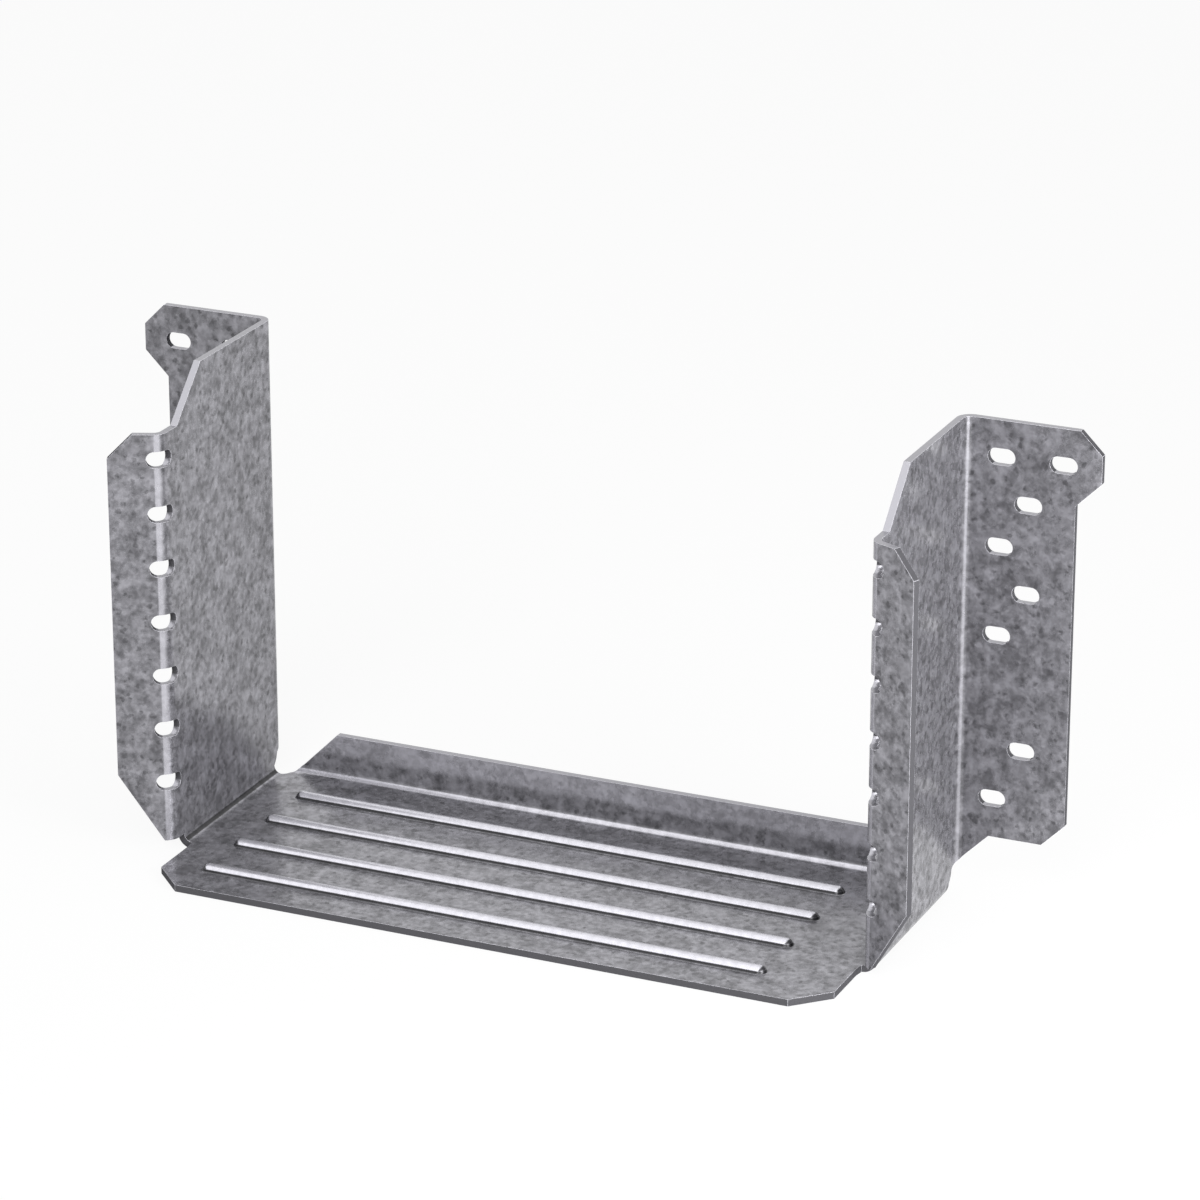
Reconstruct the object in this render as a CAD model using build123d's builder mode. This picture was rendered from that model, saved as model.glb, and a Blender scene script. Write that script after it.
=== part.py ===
from build123d import *
import os
from math import acos, cos, degrees, pi, radians, sin

# Truss hanger: one blank of galvanised sheet, punched, pressed and folded. It has a flat seat with
# raised stiffening beads, a short flange turned up along the seat's rear, two side plates, a nailing
# flange turned outwards at the rear of each side plate and a flared one at the front.
#
# Millimetres, +Z up, +X to the right seen from the front, +Y to the rear. The origin is under the
# middle of the seat, on the surface that the hanger stands on. Depths are given forwards from the
# rear faces, which lie against the girder.

# Sheet and folds
sheet = 2.0
bend_radius = 2.2  # inside radius of every fold

# Overall form
truss_width = 203.2  # clear width between the side plates
height = 136.5
seat_depth = 87.6

# Rear nailing flanges, with an ear at the top. Reaches are measured out from a side plate's inner face.
ear_reach = 39.8
ear_corner = 6.2
ear_drop = 13.9  # height of the ear above its slanted underside
strip_reach = 32.8
strip_corner = 6.4
rear_flange_floor = 18.3  # height of the flange's lower edge
rear_floor_reach = 11.4  # to the start of the slope down to the fold

# Side plates
top_depth = 43.0  # how far the level top edge runs forwards
front_drop = 14.2  # how far the slanted edge falls to the front flange's top
front_fold_depth = 65.4  # from the rear faces to the sharp corner of the front fold
front_fold_turn = 67.5  # degrees, so the flange is flared forwards by the rest of a right angle

# Front nailing flanges
front_reach = 15.15  # from the fold's sharp corner to the outer edge
front_corner = 6.9
front_edge_floor = 23.6  # height where the outer edge meets the slanted edge down to the fold's foot

# Seat: the ears at its front corners stand clear of the side plates
ear_gap = 2.65  # from a side plate's inner face in to the seat's side edge
notch_depth = 60.0  # from the rear faces to the notch that ends the side fold
ear_start_depth = 62.8  # where the ear's side edge starts
seat_corner = 9.25

# Rear flange of the seat
seat_flange_height = 14.95
seat_flange_inset = 18.2  # from a side plate's inner face to the end of the top edge

# Relief where the seat's fold, the side fold and the two rear folds would meet
relief_depth = 6.0
relief_swell = 0.35  # how far the relief's curved edges bow out of their chords

# Obround nail holes, all with their length across the width
slot_width = 4.65
slot_length = 7.65
inner_column = 12.05  # reaches of the three columns of holes
middle_column = 19.85
outer_column = 29.25
top_row_drop = 10.1  # from the top edge to the first row
row_pitch = 12.5
lower_middle_hole = 44.25  # heights of the two lowest holes
lower_inner_hole = 29.45
front_hole_count = 7
front_hole_floor = 21.5
front_hole_pitch = 15.6

# Beads pressed up from the seat
bead_count = 4
bead_depth = 18.8  # from the rear faces to the first bead
bead_pitch = 18.6
bead_left_inset = 15.8  # from a side plate's inner face to the centre of the bead's round end
bead_right_inset = 25.3
bead_rise = 1.85
bead_crest = 2.1  # radii of the bead's section
bead_foot = 0.5
groove_rise = 1.5  # the hollow that the punch leaves under a bead
groove_half_width = 2.1

# Overlap that lets a cutting shape pass right through the sheet
clear = 1.0

# Lines that the sizes above lead to
outer_radius = bend_radius + sheet
rear = seat_depth / 2
inner_face = truss_width / 2
fold_x = inner_face + outer_radius  # centre line of the two vertical folds
rear_fold_y = rear - outer_radius
fold_rise = bend_radius * pi / 2  # what a 45 degree edge climbs over a right-angled fold

turn = radians(front_fold_turn)
flare = Vector(sin(turn), -cos(turn))
front_corner_point = Vector(inner_face, rear - front_fold_depth)
front_tangent = outer_radius * sin(turn / 2) / cos(turn / 2)
front_fold_y = front_corner_point.Y + front_tangent
front_flat = front_reach - front_tangent
front_top = height - front_drop

rear_flat_floor = rear_flange_floor - (inner_face + rear_floor_reach - fold_x)
side_relief_top = rear_flat_floor - fold_rise
seat_flange_end = inner_face - seat_flange_inset + seat_flange_height - outer_radius
seat_relief_end = seat_flange_end + fold_rise


def fold_trimmer(low: float, high: float) -> Part:
    """Cutter for the slanted end of a right-angled fold, about the Z axis.

    Its top climbs from the height low, on the +X side, to the height high, on the -Y side. It is
    ruled between two radial lines, so the cut edge stays square to the bent sheet.
    """
    inside = bend_radius / 2
    outside = 2 * outer_radius
    bottom = low - outside
    far_end = Plane((0, 0, 0), x_dir=(0, -1, 0), z_dir=(-1, 0, 0))
    with BuildPart() as trimmer:
        for radial, top in ((Plane.XZ, low), (far_end, high)):
            with BuildSketch(radial):
                with Locations((inside, bottom)):
                    Rectangle(outside - inside, top - bottom, align=(Align.MIN, Align.MIN))
        loft(ruled=True)
    return trimmer.part


def ridge(length: float, half_section: Sketch) -> Part:
    """Straight ridge with round ends, from X = 0 to X = length between the ends' centres.

    The half section lies in the YZ plane, on the +Y side of the Z axis.
    """
    with BuildPart() as pressed:
        with BuildSketch(Plane.YZ):
            add(half_section)
        revolve(axis=Axis.Z, revolution_arc=180)
        with BuildSketch(Plane.YZ):
            add(half_section)
            mirror(half_section, about=Plane.YZ)
        extrude(amount=length / 2)
        mirror(about=Plane.YZ.offset(length / 2))
    return pressed.part


# Cutters for the slanted ends of the rear folds
rear_fold_trimmer = fold_trimmer(side_relief_top, rear_flat_floor)
seat_fold_trimmer = fold_trimmer(-seat_relief_end, -seat_flange_end)

# Bead: a crest arc runs into a foot arc, which meets the seat along its tangent. Below that the
# section goes on a little way, into the sheet.
bead_slope = acos(1 - bead_rise / (bead_crest + bead_foot))
bead_half_width = (bead_crest + bead_foot) * sin(bead_slope)
bead_dip = sheet / 8
with BuildSketch() as bead_section:
    with BuildLine():
        top = (0, bead_rise)
        join = (bead_crest * sin(bead_slope), bead_rise - bead_crest * (1 - cos(bead_slope)))
        Line((0, -bead_dip), top)
        RadiusArc(top, join, bead_crest)
        RadiusArc(join, (bead_half_width, 0), -bead_foot)
        Polyline((bead_half_width, 0), (bead_half_width, -bead_dip), (0, -bead_dip))
    make_face()

# Groove under a bead: one arc
with BuildSketch() as groove_section:
    with BuildLine():
        groove_radius = (groove_half_width**2 + groove_rise**2) / (2 * groove_rise)
        Line((0, 0), (0, groove_rise))
        RadiusArc((0, groove_rise), (groove_half_width, 0), groove_radius)
        Line((groove_half_width, 0), (0, 0))
    make_face()

# Cutter for an obround hole punched across the front fold before the sheet was bent. The round ends
# are square to the bent sheet, and the straight middle follows the fold.
middle_radius = bend_radius + sheet / 2
hole_turn = degrees((slot_length - slot_width) / 2 / middle_radius)
with BuildPart() as fold_hole:
    with BuildSketch(Plane.XZ.rotated((0, 0, -hole_turn))):
        with Locations((middle_radius, 0)):
            Rectangle(sheet + clear, slot_width)
    revolve(axis=Axis.Z, revolution_arc=2 * hole_turn)
    for angle in (-hole_turn, hole_turn):
        outwards = Vector(1, 0).rotate(Axis.Z, angle)
        with BuildSketch(Plane(outwards * (bend_radius - clear / 2), z_dir=outwards)):
            Circle(slot_width / 2)
        extrude(amount=sheet + clear)

# Beads and the grooves under them
bead_length = truss_width - bead_left_inset - bead_right_inset
raised_bead = ridge(bead_length, bead_section.sketch)
bead_groove = ridge(bead_length, groove_section.sketch)

# Planes of the flanges, seen from their front and rear faces, and the places of the vertical folds
rear_plane = Plane.XZ.offset(-rear)
front_plane = Plane(
    (fold_x - outer_radius * cos(turn), front_fold_y - outer_radius * sin(turn), 0),
    x_dir=(flare.X, flare.Y, 0),
    z_dir=(flare.Y, -flare.X, 0),
)
rear_fold = Plane((fold_x, rear_fold_y, 0), x_dir=(-1, 0, 0), z_dir=(0, 0, 1))
seat_fold = Plane((0, rear_fold_y, outer_radius), x_dir=(0, 0, -1), z_dir=(-1, 0, 0))

with BuildPart() as truss_hanger:
    # Right side plate with its two vertical folds and flanges, above the fold to the seat
    with BuildSketch(Plane.XY.offset(outer_radius)):
        with BuildLine():
            FilletPolyline(
                (inner_face + ear_reach, rear),
                (inner_face, rear),
                front_corner_point,
                front_corner_point + flare * front_reach,
                radius=outer_radius,
            )
            offset(amount=sheet, side=Side.LEFT)
        make_face()
    extrude(amount=height - outer_radius)

    # Rear flange: everything outside its outline comes off
    with BuildSketch(rear_plane):
        with Locations((fold_x, 0)):
            Rectangle(ear_reach, height + clear, align=(Align.MIN, Align.MIN))
        with BuildLine():
            ear_edge = inner_face + ear_reach
            strip_edge = inner_face + strip_reach
            Polyline(
                (fold_x, height),
                (ear_edge - ear_corner, height),
                (ear_edge, height - ear_corner),
                (ear_edge, height - ear_drop),
                (strip_edge, height - ear_drop - ear_reach + strip_reach),
                (strip_edge, rear_flange_floor + strip_corner),
                (strip_edge - strip_corner, rear_flange_floor),
                (inner_face + rear_floor_reach, rear_flange_floor),
                (fold_x, rear_flat_floor),
                close=True,
            )
        make_face(mode=Mode.SUBTRACT)
    extrude(amount=sheet, mode=Mode.SUBTRACT)
    with Locations(rear_fold.location):
        add(rear_fold_trimmer, mode=Mode.SUBTRACT)

    # Side plate: slanted top edge, and the level top of the front flange
    with BuildSketch(Plane.YZ.offset(inner_face - clear)):
        with BuildLine():
            Polyline(
                (rear - top_depth, height),
                (rear - top_depth - front_drop, front_top),
                (-rear, front_top),
                (-rear, height + clear),
                (rear - top_depth, height + clear),
                close=True,
            )
        make_face()
    extrude(amount=front_reach + 2 * clear, mode=Mode.SUBTRACT)

    # Front flange: top corner and slanted lower edge
    with BuildSketch(front_plane):
        Rectangle(front_reach, height, align=(Align.MIN, Align.MIN))
        with BuildLine():
            Polyline(
                (0, front_top),
                (front_flat - front_corner, front_top),
                (front_flat, front_top - front_corner),
                (front_flat, front_edge_floor),
                (0, outer_radius),
                close=True,
            )
        make_face(mode=Mode.SUBTRACT)
    extrude(amount=sheet + clear / 2, both=True, mode=Mode.SUBTRACT)

    # Nail holes of the rear flange, in three columns
    with BuildSketch(rear_plane):
        top_row = height - top_row_drop
        inner_heights = [top_row, top_row - 2 * row_pitch, top_row - 4 * row_pitch, lower_inner_hole]
        middle_heights = [top_row - row_pitch, top_row - 3 * row_pitch, lower_middle_hole]
        with Locations(
            *[(inner_face + inner_column, z) for z in inner_heights],
            *[(inner_face + middle_column, z) for z in middle_heights],
            (inner_face + outer_column, top_row),
        ):
            SlotOverall(slot_length, slot_width)
    extrude(amount=sheet, mode=Mode.SUBTRACT)

    # Nail holes along the front fold
    middle_of_fold = Plane(
        (fold_x, front_fold_y, 0), x_dir=(-cos(turn / 2), -sin(turn / 2), 0), z_dir=(0, 0, 1)
    )
    for row in range(front_hole_count):
        with Locations(middle_of_fold.offset(front_hole_floor + row * front_hole_pitch).location):
            add(fold_hole.part, mode=Mode.SUBTRACT)

    # Seat and its fold to the side plate, from the rear fold to the notch
    with BuildSketch(Plane.XZ.offset(-rear_fold_y)):
        with BuildLine():
            Line((0, 0), (inner_face - bend_radius, 0))
            JernArc((inner_face - bend_radius, 0), (1, 0), outer_radius, 90)
            offset(amount=sheet, side=Side.LEFT)
        make_face()
    extrude(amount=notch_depth - outer_radius)

    # Front of the seat, with its chamfered corner
    with BuildSketch(Plane.XY):
        with BuildLine():
            seat_edge = inner_face - ear_gap
            Polyline(
                (0, rear - notch_depth),
                (inner_face - bend_radius, rear - notch_depth),
                (seat_edge, rear - ear_start_depth),
                (seat_edge, -rear + seat_corner),
                (seat_edge - seat_corner, -rear),
                (0, -rear),
                close=True,
            )
        make_face()
    extrude(amount=sheet)

    # Flange turned up along the rear of the seat, with its slanted end
    with BuildSketch(Plane.YZ):
        with BuildLine():
            JernArc((rear_fold_y, 0), (1, 0), outer_radius, 90)
            Line((rear, outer_radius), (rear, seat_flange_height))
            offset(amount=sheet, side=Side.LEFT)
        make_face()
    extrude(amount=seat_relief_end)
    with BuildSketch(rear_plane):
        with BuildLine():
            Polyline(
                (seat_flange_end, outer_radius),
                (inner_face - seat_flange_inset, seat_flange_height),
                (seat_relief_end + clear, seat_flange_height),
                (seat_relief_end + clear, outer_radius),
                close=True,
            )
        make_face()
    extrude(amount=sheet, mode=Mode.SUBTRACT)
    with Locations(seat_fold.location):
        add(seat_fold_trimmer, mode=Mode.SUBTRACT)

    # Relief in the rear corner: square across the fold, curved into the seat and the side plate
    with BuildSketch(Plane.XY):
        with BuildLine():
            seat_start = Vector(seat_relief_end, rear_fold_y)
            seat_stop = Vector(inner_face - bend_radius, rear - relief_depth)
            seat_bow = (seat_stop - seat_start).normalized().rotate(Axis.Z, -90) * relief_swell
            ThreePointArc(seat_start, (seat_start + seat_stop) / 2 + seat_bow, seat_stop)
            Polyline(
                seat_stop,
                (fold_x, rear - relief_depth),
                (fold_x, rear_fold_y),
                seat_start,
            )
        make_face()
    extrude(amount=outer_radius, mode=Mode.SUBTRACT)
    with BuildSketch(Plane.YZ.offset(inner_face)):
        with BuildLine():
            side_start = Vector(rear - relief_depth, outer_radius)
            side_stop = Vector(rear_fold_y, side_relief_top)
            side_bow = (side_stop - side_start).normalized().rotate(Axis.Z, -90) * relief_swell
            ThreePointArc(side_start, (side_start + side_stop) / 2 + side_bow, side_stop)
            Polyline(side_stop, (rear_fold_y, outer_radius), side_start)
        make_face()
    extrude(amount=sheet, mode=Mode.SUBTRACT)

    # The left half is the same
    mirror(about=Plane.YZ)

    # Beads, which sit nearer to the left side plate than to the right one
    bead_places = [
        (bead_left_inset - inner_face, rear - bead_depth - row * bead_pitch) for row in range(bead_count)
    ]
    with Locations(*[(x, y, sheet) for x, y in bead_places]):
        add(raised_bead)
    with Locations(*bead_places):
        add(bead_groove, mode=Mode.SUBTRACT)

truss_hanger.part.label = "truss_hanger"

os.makedirs("parts", exist_ok=True)
export_step(truss_hanger.part, "parts/truss_hanger.step")
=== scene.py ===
"""Looks of a folded truss hanger of galvanised sheet: its eased sheet, its zinc, the studio."""

import logging
import math
from dataclasses import dataclass, field
from enum import Enum
from functools import reduce

import bmesh
import bpy
import numpy as np
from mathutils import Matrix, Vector

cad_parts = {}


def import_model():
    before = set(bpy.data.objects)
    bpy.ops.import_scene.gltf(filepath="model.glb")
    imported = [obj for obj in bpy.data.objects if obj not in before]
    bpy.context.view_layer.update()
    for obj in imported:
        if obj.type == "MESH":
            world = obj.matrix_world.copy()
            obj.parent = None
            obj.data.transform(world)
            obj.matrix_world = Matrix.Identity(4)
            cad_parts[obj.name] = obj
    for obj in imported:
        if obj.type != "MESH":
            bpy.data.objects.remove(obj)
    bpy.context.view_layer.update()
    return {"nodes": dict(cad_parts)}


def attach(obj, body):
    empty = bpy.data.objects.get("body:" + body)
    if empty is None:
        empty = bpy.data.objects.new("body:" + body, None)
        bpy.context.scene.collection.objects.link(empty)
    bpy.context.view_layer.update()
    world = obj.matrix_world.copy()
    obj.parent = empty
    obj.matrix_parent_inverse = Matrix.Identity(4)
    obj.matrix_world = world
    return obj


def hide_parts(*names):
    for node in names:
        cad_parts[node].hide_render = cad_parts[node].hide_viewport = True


log = logging.getLogger("truss_hanger")

MM = 0.001
NODE = "truss_hanger"

Colour = tuple[float, float, float, float]
Span = tuple[float, float]
Socket = bpy.types.NodeSocket
Value = Socket | float
Collection = bpy.types.bpy_prop_collection


def grey(value: float) -> Colour:
    """Neutral colour of a linear value."""
    return (value, value, value, 1.0)


def zinc_grey(value: float) -> Colour:
    """Zinc's grey of a linear value, with its slight violet cast."""
    return (value * 1.012, value, value * 1.085, 1.0)


class NodeWriter:
    """Adds and links the nodes of one shader tree."""

    def __init__(self, tree: bpy.types.NodeTree) -> None:
        """Keeps the tree that nodes are added to."""
        self.tree = tree

    def add(self, kind: str, values: dict | None = None, **settings: object) -> bpy.types.Node:
        """Adds a node.

        Args:
            kind: The node's type name.
            values: Input sockets' values or the sockets linked to them, by name or index.
            settings: The node's own properties.

        Returns:
            The new node.
        """
        node = self.tree.nodes.new(kind)
        for name, value in settings.items():
            setattr(node, name, value)
        for name, value in (values or {}).items():
            if isinstance(value, bpy.types.NodeSocket):
                self.tree.links.new(value, node.inputs[name])
            else:
                node.inputs[name].default_value = value
        return node

    def maths(self, operation: str, first: Value, second: Value = 0.0) -> Socket:
        """Adds a Math node.

        Args:
            operation: The node's operation.
            first: Socket or number.
            second: Socket or number.

        Returns:
            The result's socket.
        """
        return self.add("ShaderNodeMath", {0: first, 1: second}, operation=operation).outputs[0]

    def product(self, *factors: Value) -> Socket:
        """Product of sockets and numbers."""
        return reduce(lambda first, second: self.maths("MULTIPLY", first, second), factors)

    def largest(self, *values: Value) -> Socket:
        """Largest of sockets and numbers."""
        return reduce(lambda first, second: self.maths("MAXIMUM", first, second), values)

    def absolute(self, value: Value) -> Socket:
        """A number without its sign."""
        return self.maths("ABSOLUTE", value)

    def span(self, value: Value, ends: Span) -> Socket:
        """Climbs smoothly from 0 to 1.

        Args:
            value: What it depends on.
            ends: The value at which it is 0 and the value at which it is 1, in either order.

        Returns:
            The result's socket.
        """
        values = {"Value": value, 1: ends[0], 2: ends[1]}
        return self.add("ShaderNodeMapRange", values, interpolation_type="SMOOTHSTEP").outputs[0]

    def mix(self, share: Value, first: Value, second: Value) -> Socket:
        """Mixes two numbers.

        Args:
            share: Share of the second.
            first: Socket or number.
            second: Socket or number.

        Returns:
            The mixed value's socket.
        """
        values = {0: share, 2: first, 3: second}
        return self.add("ShaderNodeMix", values, data_type="FLOAT").outputs[0]

    def blend(self, share: Value, first: Socket | Colour, second: Socket | Colour) -> Socket:
        """Mixes two colours.

        Args:
            share: Share of the second.
            first: Socket or colour.
            second: Socket or colour.

        Returns:
            The mixed colour's socket.
        """
        values = {0: share, 6: first, 7: second}
        return self.add("ShaderNodeMix", values, data_type="RGBA").outputs[2]

    def vector(self, operation: str, first: Socket, second: Socket | Vector) -> Socket:
        """Adds a Vector Math node of two vectors.

        Args:
            operation: The node's operation.
            first: Socket.
            second: Socket or vector.

        Returns:
            The result's socket.
        """
        values = {0: first, 1: second}
        return self.add("ShaderNodeVectorMath", values, operation=operation).outputs[0]

    def scale(self, vector: Socket, factor: Value) -> Socket:
        """Scales a vector or a colour by a socket or a number."""
        values = {0: vector, "Scale": factor}
        return self.add("ShaderNodeVectorMath", values, operation="SCALE").outputs[0]


def new_material(name: str) -> tuple[bpy.types.Material, NodeWriter]:
    """Makes an empty material.

    Args:
        name: The material's name.

    Returns:
        The material and a writer for its tree.
    """
    material = bpy.data.materials.new(name)
    material.use_nodes = True
    material.node_tree.nodes.clear()
    return material, NodeWriter(material.node_tree)


def new_group(
    name: str, inputs: tuple[str, ...], outputs: tuple[str, ...]
) -> tuple[bpy.types.NodeTree, NodeWriter]:
    """Makes an empty shader node group with its sockets.

    Args:
        name: The group's name.
        inputs: Names of its inputs, which are vectors.
        outputs: Names of its outputs, which are numbers.

    Returns:
        The group and a writer for it.
    """
    group = bpy.data.node_groups.new(name, "ShaderNodeTree")
    for label in inputs:
        group.interface.new_socket(label, in_out="INPUT", socket_type="NodeSocketVector")
    for label in outputs:
        group.interface.new_socket(label, in_out="OUTPUT", socket_type="NodeSocketFloat")
    return group, NodeWriter(group)


@dataclass(frozen=True)
class Noise:
    """A noise texture: its features' size, its finer layers' number and their strength."""

    size: float
    detail: float
    rough: float

    def add(self, write: NodeWriter, place: Socket) -> bpy.types.Node:
        """Adds the texture at the places that a socket gives."""
        values = {"Scale": 1 / self.size, "Detail": self.detail, "Roughness": self.rough}
        return write.add("ShaderNodeTexNoise", {"Vector": place, **values})


@dataclass(frozen=True)
class Spangle:
    """Zinc crystals: patches a few millimetres across, a crisp grain and small dark specks."""

    crystal: float = 2.6 * MM
    crystal_share: float = 0.30
    fray: Noise = Noise(1.3 * MM, 2.0, 0.5)
    fray_reach: float = 2.08 * MM
    patch: Noise = Noise(4.0 * MM, 4.0, 0.55)
    patch_span: Span = (0.34, 0.66)
    grain: Noise = Noise(1.7 * MM, 2.0, 0.5)
    grain_span: Span = (0.30, 0.70)
    grain_share: float = 0.30
    speck: float = 2.8 * MM
    speck_span: Span = (0.30, 0.20)

    def cells(self, write: NodeWriter, place: Socket, size: float) -> bpy.types.Node:
        """Adds a texture of cells of one size."""
        return write.add("ShaderNodeTexVoronoi", {"Vector": place, "Scale": 1 / size})

    def group(self) -> bpy.types.NodeTree:
        """Builds the node group.

        Tone is about 0.5 on average. It mixes three greys: a crystal's random grey, read at places
        bent a little by a noise so that the outlines fray, a patchy noise and a fine grain. Specks
        is a mask of small frayed dots, each around a random point.

        Returns:
            A group with the input Place and the outputs Tone, Grain and Specks.
        """
        group, write = new_group("zinc_spangle", ("Place",), ("Tone", "Grain", "Specks"))
        place = write.add("NodeGroupInput").outputs["Place"]
        fray = self.fray.add(write, place).outputs["Color"]
        shift = write.vector("SUBTRACT", fray, Vector((0.5, 0.5, 0.5)))
        bent = write.vector("ADD", place, write.scale(shift, self.fray_reach))
        crystals = self.cells(write, bent, self.crystal).outputs["Color"]
        shade = write.add("ShaderNodeSeparateColor", {0: crystals}).outputs[0]
        patch = write.span(self.patch.add(write, place).outputs["Fac"], self.patch_span)
        grain = write.span(self.grain.add(write, place).outputs["Fac"], self.grain_span)
        tone = write.mix(self.grain_share, write.mix(self.crystal_share, patch, shade), grain)
        dots = self.cells(write, bent, self.speck).outputs["Distance"]
        specks = write.span(dots, self.speck_span)
        write.add("NodeGroupOutput", {"Tone": tone, "Grain": grain, "Specks": specks})
        return group


class PaintedLight(Enum):
    """The kinds of painted light and shade on the zinc, by the names of their masks."""

    CREST_HIGHLIGHT = "CrestHighlight"
    CREASE = "CreaseShade"
    BEND = "BendHighlight"
    FLANGE_REFLECTION = "FlangeReflection"


@dataclass(frozen=True)
class PaintedLightMasks:
    """Where painted light and shade go on the zinc.

    Lengths are places on the part. The spans named after a way to face are of the normal's part
    along one axis.
    """

    bead_reach: Span = (90.0 * MM, 36.0 * MM)
    bead_top: float = 4.0 * MM
    foot_start: Span = (2.01 * MM, 2.08 * MM)
    crest_start: Span = (2.65 * MM, 2.90 * MM)
    seat_fold_top: float = 9.0 * MM
    # Box of the painted reflection on the seat's flange, and the height where it starts.
    flange_reach: Span = (95.0 * MM, 60.0 * MM)
    flange_top: float = 15.5 * MM
    reflection_start: Span = (7.5 * MM, 10.0 * MM)
    half_side: Span = (0.40, 0.56)
    half_front: Span = (0.52, 0.76)
    upright: Span = (0.20, 0.05)
    rear_corner_share: float = 0.6
    half_up: Span = (0.30, 0.55)
    forwards: Span = (-0.30, -0.55)
    side_as_up: Span = (0.55, 0.30)
    full_front: Span = (-0.85, -0.95)

    def box(self, write: NodeWriter, place: Collection, reach: Span, top: float) -> Socket:
        """Masks a box around the upright axis.

        Args:
            write: Writer of the group.
            place: The sockets of the place's three parts.
            reach: How far the box reaches from the axis, along X and Y.
            top: Its top. It has no bottom.

        Returns:
            The mask's socket.
        """
        return write.product(
            write.maths("LESS_THAN", write.absolute(place["X"]), reach[0]),
            write.maths("LESS_THAN", write.absolute(place["Y"]), reach[1]),
            write.maths("LESS_THAN", place["Z"], top),
        )

    def group(self) -> bpy.types.NodeTree:
        """Builds the node group.

        The beads are found by height over the seat, inside a box around all four: their feet get
        painted shade and their crests a painted highlight. The other places are found by the way
        the
        sheet faces there: half to the side and half to the front on a corner bend, and half up and
        half to the front at the seat's rear, get a painted highlight; half up and half to the side
        in a crease beside the seat gets painted shade; and facing the front, the upper part of the
        seat's flange gets a painted reflection.

        Returns:
            A group with the inputs Place and Facing and one output for each mark.
        """
        group, write = new_group(
            "painted_light_masks", ("Place", "Facing"), tuple(shading.value for shading in PaintedLight)
        )
        inlet = write.add("NodeGroupInput").outputs
        place = write.add("ShaderNodeSeparateXYZ", {0: inlet["Place"]}).outputs
        facing = write.add("ShaderNodeSeparateXYZ", {0: inlet["Facing"]}).outputs
        low = write.maths("LESS_THAN", place["Z"], self.seat_fold_top)

        # Bead crests get a painted highlight: lighter, even zinc.
        beads = self.box(write, place, self.bead_reach, self.bead_top)
        crest = write.span(place["Z"], self.crest_start)
        below_crest = write.maths("SUBTRACT", 1.0, crest)
        # Bead feet get painted shade.
        feet = write.product(beads, write.span(place["Z"], self.foot_start), below_crest)

        # Corner bends and the seat's rear fold get a painted highlight.
        corner = write.product(
            write.span(write.absolute(facing["X"]), self.half_side),
            write.span(write.absolute(facing["Y"]), self.half_front),
            write.span(write.absolute(facing["Z"]), self.upright),
            write.mix(write.maths("LESS_THAN", place["Y"], 0.0), self.rear_corner_share, 1.0),
        )
        upwards = write.span(facing["Z"], self.half_up)
        seat_fold = write.product(write.span(facing["Y"], self.forwards), upwards, low)
        # A crease beside the seat gets painted shade.
        lean = write.maths("SUBTRACT", write.absolute(facing["X"]), facing["Z"])
        beside = write.product(write.span(write.absolute(lean), self.side_as_up), upwards, low)

        # The upper part of the seat's flange, facing the front, gets a painted reflection: lighter
        # zinc.
        flange = self.box(write, place, self.flange_reach, self.flange_top)
        front = write.span(facing["Y"], self.full_front)
        masks = {
            PaintedLight.CREST_HIGHLIGHT: write.product(beads, crest),
            PaintedLight.CREASE: write.largest(feet, beside),
            PaintedLight.BEND: write.largest(corner, seat_fold),
            PaintedLight.FLANGE_REFLECTION: write.product(flange, front, write.span(place["Z"], self.reflection_start)),
        }
        write.add("NodeGroupOutput", {shading.value: mask for shading, mask in masks.items()})
        return group


@dataclass(frozen=True)
class PaintedEffect:
    """What one kind of painted light and shade does to the zinc: how far it evens out the spangle
    towards a lighter zinc, and its gain in colour.
    """

    evening: float
    gain: float


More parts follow.
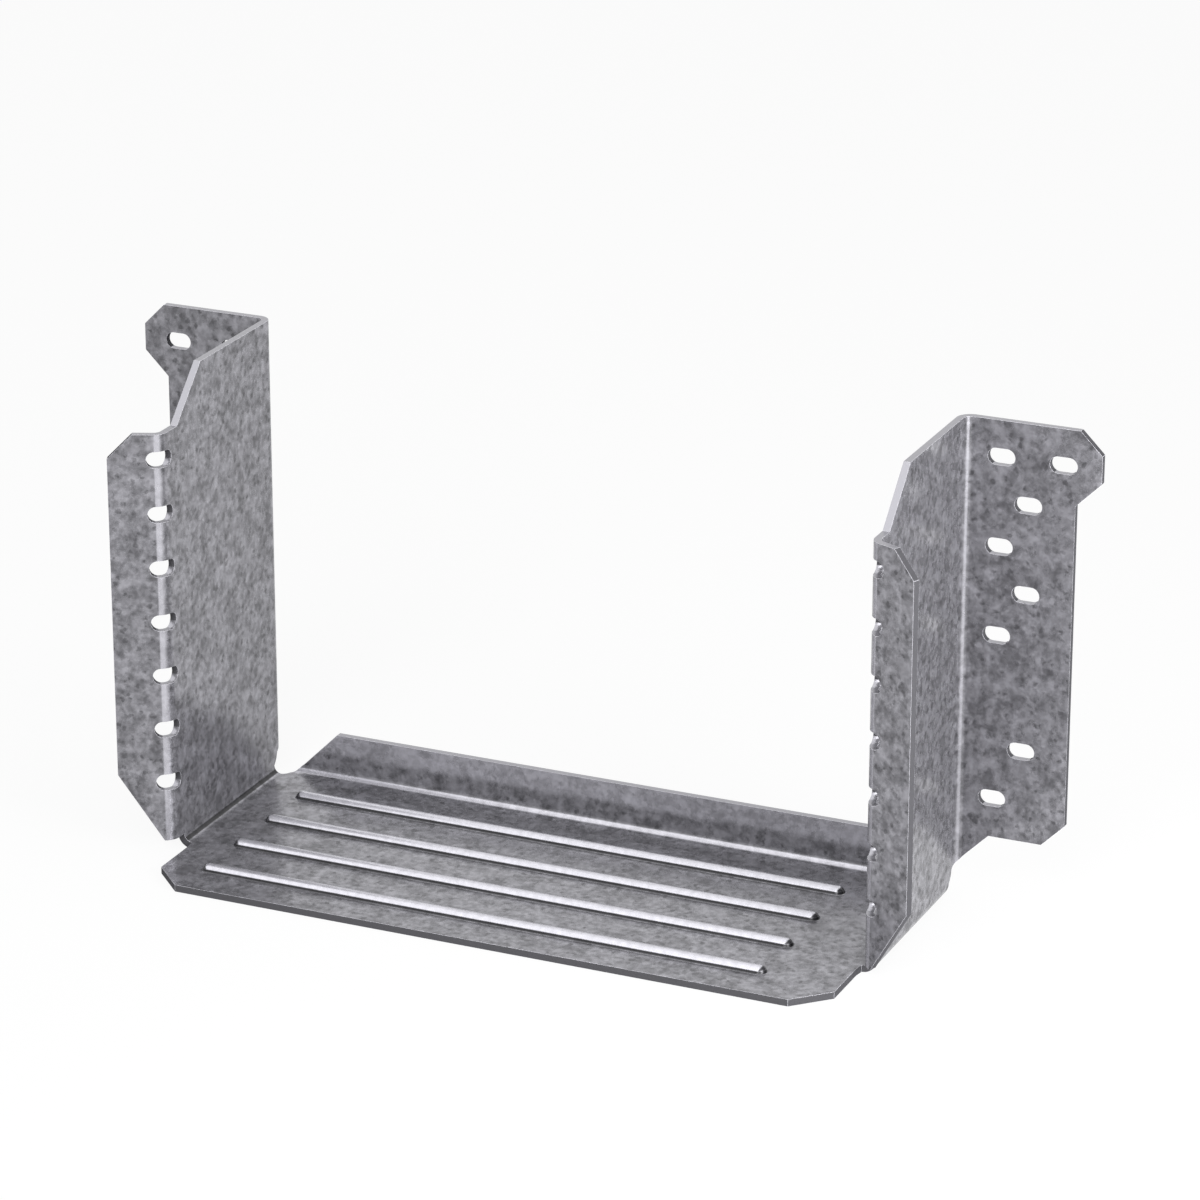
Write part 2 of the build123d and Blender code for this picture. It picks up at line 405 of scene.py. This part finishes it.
@dataclass(frozen=True)
class GalvanisedFinish:
    """Hot-dip galvanised sheet: a mid-grey, mottled, half-bright zinc face, with painted
    highlights, painted shade and a painted reflection.
    """

    name: str = "galvanised_sheet"
    dark: Colour = zinc_grey(0.098)
    light: Colour = zinc_grey(0.322)
    # Lighter, even zinc that the painted highlights and the painted reflection blend towards.
    highlight_zinc: Colour = zinc_grey(0.380)
    metallic: float = 0.52
    specular: float = 0.3
    dark_rough: float = 0.32
    light_rough: float = 0.20
    bump: float = 0.04
    bump_depth: float = 0.1 * MM
    speck_depth: float = 0.36
    grain_gain: float = 0.86
    spangle: Spangle = Spangle()
    painted_masks: PaintedLightMasks = PaintedLightMasks()
    # Painted highlight on the bead crests.
    crest_highlight_effect: PaintedEffect = PaintedEffect(1.0, 1.0)
    # Painted shade in creases: the colour drops to about an eighth.
    crease_shade_effect: PaintedEffect = PaintedEffect(0.0, 0.12)
    # Painted highlight on the bends.
    bend_highlight_effect: PaintedEffect = PaintedEffect(0.8, 1.25)
    # Painted reflection on the upper part of the seat's flange.
    flange_reflection_effect: PaintedEffect = PaintedEffect(0.35, 1.4)

    def effects(self) -> dict[PaintedLight, PaintedEffect]:
        """What each kind of painted light and shade does."""
        effects = (self.crest_highlight_effect, self.crease_shade_effect, self.bend_highlight_effect, self.flange_reflection_effect)
        return dict(zip(PaintedLight, effects))

    def colour(self, write: NodeWriter, tone: Socket, grain: Socket, masks: Collection) -> Socket:
        """Builds the colour.

        Args:
            write: Writer of the material's tree.
            tone: From 0 on the dark zinc to 1 on the light one.
            grain: The fine grain, from 0 to 1.
            masks: The sockets of the painted light and shade's masks, by name.

        Returns:
            The colour's socket.
        """
        # Painted light and shade: each mask evens the spangle towards the lighter zinc and scales
        # the colour by its gain.
        effects = [(masks[shading.value], effect) for shading, effect in self.effects().items()]
        even = write.largest(*(write.product(mask, effect.evening) for mask, effect in effects))
        zinc = write.blend(even, write.blend(tone, self.dark, self.light), self.highlight_zinc)
        gain = write.product(*(write.mix(mask, 1.0, effect.gain) for mask, effect in effects))
        return write.scale(zinc, write.product(gain, write.mix(grain, self.grain_gain, 1.0)))

    def material(self) -> bpy.types.Material:
        """Builds the material.

        Returns:
            A metal whose base colour and roughness follow the spangle, with painted highlights,
            painted shade and a painted reflection in its base colour.
        """
        material, write = new_material(self.name)
        place = write.add("ShaderNodeTexCoord").outputs
        spangle = write.add("ShaderNodeGroup", node_tree=self.spangle.group())
        painted_masks = write.add("ShaderNodeGroup", node_tree=self.painted_masks.group())
        write.tree.links.new(place["Object"], spangle.inputs["Place"])
        write.tree.links.new(place["Object"], painted_masks.inputs["Place"])
        write.tree.links.new(place["Normal"], painted_masks.inputs["Facing"])
        grain = spangle.outputs["Grain"]
        specks = write.product(spangle.outputs["Specks"], self.speck_depth)
        tone = write.largest(write.maths("SUBTRACT", spangle.outputs["Tone"], specks), 0.0)
        bump = {"Height": grain, "Strength": self.bump, "Distance": self.bump_depth}
        values = {
            "Base Color": self.colour(write, tone, grain, painted_masks.outputs),
            "Metallic": self.metallic,
            "Roughness": write.mix(tone, self.dark_rough, self.light_rough),
            "Specular IOR Level": self.specular,
            "Normal": write.add("ShaderNodeBump", bump).outputs[0],
        }
        surface = write.add("ShaderNodeBsdfPrincipled", values)
        write.add("ShaderNodeOutputMaterial", {"Surface": surface.outputs[0]})
        return material


@dataclass(frozen=True)
class PlainFinish:
    """An even zinc or steel face without spangle, for what is too narrow to show any."""

    name: str
    colour: Colour
    metallic: float
    rough: float
    specular: float

    def material(self) -> bpy.types.Material:
        """Builds the material.

        Returns:
            A material of one colour.
        """
        material, write = new_material(self.name)
        values = {
            "Base Color": self.colour,
            "Metallic": self.metallic,
            "Roughness": self.rough,
            "Specular IOR Level": self.specular,
        }
        surface = write.add("ShaderNodeBsdfPrincipled", values)
        write.add("ShaderNodeOutputMaterial", {"Surface": surface.outputs[0]})
        return material


class Face(Enum):
    """The kinds of face on the sheet, by their material's place in the mesh."""

    SHEET = 0
    EASED_EDGE = 1
    CUT_PAINTED_SHADE = 2
    CUT_PAINTED_LIT = 3


def read(items: Collection, name: str, kind: type, width: int = 1) -> np.ndarray:
    """Reads one property of all vertices, edges, corners or faces of a mesh.

    Args:
        items: The mesh's vertices, edges, corners or faces.
        name: The property's name.
        kind: The numbers' kind.
        width: How many numbers each item has.

    Returns:
        One row for each item, or one number for each if the width is 1.
    """
    values = np.empty(len(items) * width, dtype=kind)
    items.foreach_get(name, values)
    return values.reshape(-1, width) if width > 1 else values


@dataclass
class HangerSheet:
    """The folded sheet itself, with its cut edges eased by a hair."""

    sheet: float = 2.0 * MM
    sheet_slack: float = 0.02 * MM
    cut_area_share: float = 0.51
    edge_ease: float = 0.26 * MM
    ease_segments: int = 2
    merge_gap: float = 0.002 * MM
    flat_turn: float = math.radians(0.3)
    edge_turn: float = math.radians(38.0)
    flat_weight: int = 90
    # Cut faces that face up get a lit copy of their material, a painted highlight; the others a
    # dark copy, painted shade.
    bright_lean: float = 0.45
    bright_rise: float = 0.33
    face: GalvanisedFinish = GalvanisedFinish()
    # The eased edges' light, plain zinc is a painted highlight.
    eased: PlainFinish = PlainFinish("edges_painted_highlight", zinc_grey(0.58), 0.2, 0.5, 0.5)
    # Shaded and lit copies of one cut-edge material: painted shade and painted highlight.
    dull: PlainFinish = PlainFinish("cut_edges_painted_shade", zinc_grey(0.075), 0.0, 0.7, 0.0)
    bright: PlainFinish = PlainFinish("cut_edges_painted_lit", zinc_grey(0.275), 0.65, 0.28, 0.3)

    def finishes(self) -> dict[Face, GalvanisedFinish | PlainFinish]:
        """The finish of each kind of face, in the order of their places in the mesh."""
        return dict(zip(Face, (self.face, self.eased, self.dull, self.bright)))

    def mark_cut_edges(self, mesh: bpy.types.Mesh) -> None:
        """Gives the cut edges and the holes' walls their materials.

        Only such a face has a side that runs through the sheet, as long as the sheet is thick, and
        an area no larger than half its outline times that thickness. Where it faces up, or up and
        forward, it gets a lit copy of the cut edges' material, a painted highlight, and elsewhere a
        dark copy, painted shade.

        Args:
            mesh: The merged sheet.
        """
        ends = read(mesh.vertices, "co", float, 3)[read(mesh.edges, "vertices", np.int64, 2)]
        lengths = np.linalg.norm(ends[:, 1] - ends[:, 0], axis=1)
        through = (np.abs(lengths - self.sheet) < self.sheet_slack).astype(np.int64)
        sides = read(mesh.loops, "edge_index", np.int64)
        starts = read(mesh.polygons, "loop_start", np.int64)
        facing = read(mesh.polygons, "normal", float, 3)
        crossings = np.add.reduceat(through[sides], starts)
        largest = self.cut_area_share * self.sheet * np.add.reduceat(lengths[sides], starts)
        cut = (crossings > 0) & (read(mesh.polygons, "area", float) < largest)
        # Painted light: cut faces facing up take the lit copy, the others the shaded copy.
        upwards = (np.abs(facing[:, 0]) < self.bright_lean) & (facing[:, 2] > self.bright_rise)
        bright = cut & upwards
        dull = cut & ~upwards
        kinds = np.select((bright, dull), (Face.CUT_PAINTED_LIT.value, Face.CUT_PAINTED_SHADE.value))
        mesh.polygons.foreach_set("material_index", kinds.astype(np.int32))
        log.info("cut edges: %d bright faces, %d dull ones", bright.sum(), dull.sum())

    def ease_edges(self, piece: bpy.types.Object) -> None:
        """Eases the cut edges and keeps the faces between them flat.

        Args:
            piece: The folded sheet.
        """
        bevel = piece.modifiers.new("eased_edges", "BEVEL")
        bevel.width = self.edge_ease
        bevel.segments = self.ease_segments
        bevel.limit_method = "ANGLE"
        bevel.angle_limit = self.edge_turn
        bevel.use_clamp_overlap = True
        bevel.material = Face.EASED_EDGE.value
        flats = piece.modifiers.new("flat_faces", "WEIGHTED_NORMAL")
        flats.weight = self.flat_weight
        flats.keep_sharp = True

    def build(self, node: bpy.types.Object) -> bpy.types.Object:
        """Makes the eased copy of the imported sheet, which stands for it.

        Args:
            node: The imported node's object.

        Returns:
            The finished piece.
        """
        mesh = bpy.data.meshes.new("folded_sheet")
        form = bmesh.new()
        form.from_mesh(node.data)
        bmesh.ops.remove_doubles(form, verts=form.verts, dist=self.merge_gap)
        bmesh.ops.dissolve_limit(
            form,
            angle_limit=self.flat_turn,
            verts=form.verts,
            edges=form.edges,
            delimit={"NORMAL"},
        )
        form.to_mesh(mesh)
        form.free()
        mesh.polygons.foreach_set("use_smooth", np.ones(len(mesh.polygons), dtype=bool))
        self.mark_cut_edges(mesh)
        for finish in self.finishes().values():
            mesh.materials.append(finish.material())
        piece = bpy.data.objects.new("folded_sheet", mesh)
        bpy.context.scene.collection.objects.link(piece)
        self.ease_edges(piece)
        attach(piece, "root")
        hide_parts(NODE)
        log.info("folded sheet: %d faces before its edges are eased", len(mesh.polygons))
        return piece


@dataclass
class PhotoCamera:
    """Camera at the photograph's viewing angle, found by fitting the folded form to the picture."""

    azimuth: float = math.radians(24.03)
    elevation: float = math.radians(20.66)
    distance: float = 1330.28 * MM
    target: Vector = field(default_factory=lambda: Vector((24.35, -16.2, 92.64)) * MM)
    focal_px: float = 5092.1
    frame_px: float = 1200.0
    sensor: float = 36.0
    nearest: float = 0.05

    def build(self) -> bpy.types.Object:
        """Makes the camera and puts it in the scene.

        Returns:
            The camera's object.
        """
        level = math.cos(self.elevation)
        back = Vector(
            (
                math.sin(self.azimuth) * level,
                -math.cos(self.azimuth) * level,
                math.sin(self.elevation),
            )
        )
        data = bpy.data.cameras.new("photo_camera")
        data.sensor_width = self.sensor
        data.lens = self.focal_px / self.frame_px * self.sensor
        data.clip_start = self.nearest
        camera = bpy.data.objects.new("photo_camera", data)
        camera.location = self.target + back * self.distance
        camera.rotation_euler = (-back).to_track_quat("-Z", "Y").to_euler()
        bpy.context.scene.collection.objects.link(camera)
        bpy.context.scene.camera = camera
        return camera


@dataclass(frozen=True)
class SoftLamp:
    """One soft square lamp that looks at the middle of the object."""

    name: str
    place: tuple[float, float, float]
    side: float
    watts: float
    aim: tuple[float, float, float] = (0.0, 0.0, 0.05)

    def build(self) -> bpy.types.Object:
        """Hangs the lamp.

        Returns:
            The lamp's object.
        """
        data = bpy.data.lights.new(self.name, "AREA")
        data.size = self.side
        data.energy = self.watts
        lamp = bpy.data.objects.new(self.name, data)
        lamp.location = self.place
        towards = Vector(self.aim) - Vector(self.place)
        lamp.rotation_euler = towards.to_track_quat("-Z", "Y").to_euler()
        bpy.context.scene.collection.objects.link(lamp)
        return lamp


@dataclass
class Studio:
    """Plain pale floor, two soft lamps, soft light overhead and pale walls."""

    floor_radius: float = 4.0
    floor_sides: int = 64
    floor_white: float = 0.84
    floor_glow: float = 0.90
    overhead: float = 2.4
    right_wall: float = 1.2
    rear_wall: float = 1.15
    front_wall: float = 0.60
    rear_turn: Span = (0.30, 0.62)
    right_turn: Span = (-0.02, 0.16)
    front_height: float = 0.34
    rear_height: float = 0.52
    height_fade: Span = (0.0, 0.14)
    plain: float = 0.6
    key: SoftLamp = SoftLamp("key_front", (0.20, -1.30, 0.95), 0.9, 15.5)
    fill: SoftLamp = SoftLamp("fill_right", (0.44, -0.17, 0.17), 0.25, 2.3)

    def floor(self) -> bpy.types.Object:
        """Makes the floor, a disc that shows as nearly white to all but diffuse rays.

        Returns:
            The floor's object.
        """
        turn = np.arange(self.floor_sides) * 2 * math.pi / self.floor_sides
        ring = np.stack((np.cos(turn), np.sin(turn), np.zeros(self.floor_sides)), axis=1)
        mesh = bpy.data.meshes.new("floor")
        corners = (ring * self.floor_radius).tolist()
        mesh.from_pydata(corners, [], [list(range(self.floor_sides))])
        material, write = new_material("pale_floor")
        rays = write.add("ShaderNodeLightPath").outputs
        kinds = ("Is Camera Ray", "Is Glossy Ray", "Is Transmission Ray")
        seen = write.largest(*(rays[kind] for kind in kinds))
        matt = write.add("ShaderNodeBsdfDiffuse", {"Color": grey(self.floor_white)}).outputs[0]
        glow = write.add("ShaderNodeEmission", {"Color": grey(1.0), "Strength": 1.0}).outputs[0]
        share = write.product(seen, self.floor_glow)
        mixed = write.add("ShaderNodeMixShader", {0: share, 1: matt, 2: glow})
        write.add("ShaderNodeOutputMaterial", {"Surface": mixed.outputs[0]})
        mesh.materials.append(material)
        floor = bpy.data.objects.new("floor", mesh)
        bpy.context.scene.collection.objects.link(floor)
        return floor

    def surround(self, write: NodeWriter) -> Socket:
        """Builds the strength that glossy rays see, which depends on the direction alone.

        A soft light fills everything overhead, down to a third of the way up in front and to half
        of it behind. Below it stand pale walls, a darker one in front.

        Args:
            write: Writer of the world's tree.

        Returns:
            The strength's socket.
        """
        generated = write.add("ShaderNodeTexCoord").outputs["Generated"]
        towards = write.add("ShaderNodeSeparateXYZ", {0: generated}).outputs
        behind = write.span(towards["Y"], self.rear_turn)
        rightwards = write.span(towards["X"], self.right_turn)
        start = write.mix(behind, self.front_height, self.rear_height)
        lit = write.span(write.maths("SUBTRACT", towards["Z"], start), self.height_fade)
        walls = write.mix(behind, self.front_wall, self.rear_wall)
        return write.mix(lit, write.mix(rightwards, walls, self.right_wall), self.overhead)

    def world(self) -> None:
        """Lights the surround: white to the camera, a plain level to diffuse rays."""
        world = bpy.data.worlds.new("studio")
        bpy.context.scene.world = world
        world.use_nodes = True
        world.node_tree.nodes.clear()
        write = NodeWriter(world.node_tree)
        rays = write.add("ShaderNodeLightPath").outputs
        seen = write.largest(rays["Is Glossy Ray"], rays["Is Transmission Ray"])
        level = write.mix(seen, self.plain, self.surround(write))
        level = write.mix(rays["Is Camera Ray"], level, 1.0)
        light = write.add("ShaderNodeBackground", {"Color": grey(1.0), "Strength": level})
        write.add("ShaderNodeOutputWorld", {"Surface": light.outputs[0]})

    def build(self) -> None:
        """Makes the floor, the surround and the lamps."""
        self.floor()
        self.world()
        self.key.build()
        self.fill.build()
        bpy.context.scene.view_settings.view_transform = "Standard"


def main() -> None:
    """Builds the object and the studio in order."""
    logging.basicConfig(level=logging.INFO, format="%(message)s")
    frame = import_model()
    HangerSheet().build(frame["nodes"][NODE])
    PhotoCamera().build()
    Studio().build()


if __name__ == "__main__":
    main()
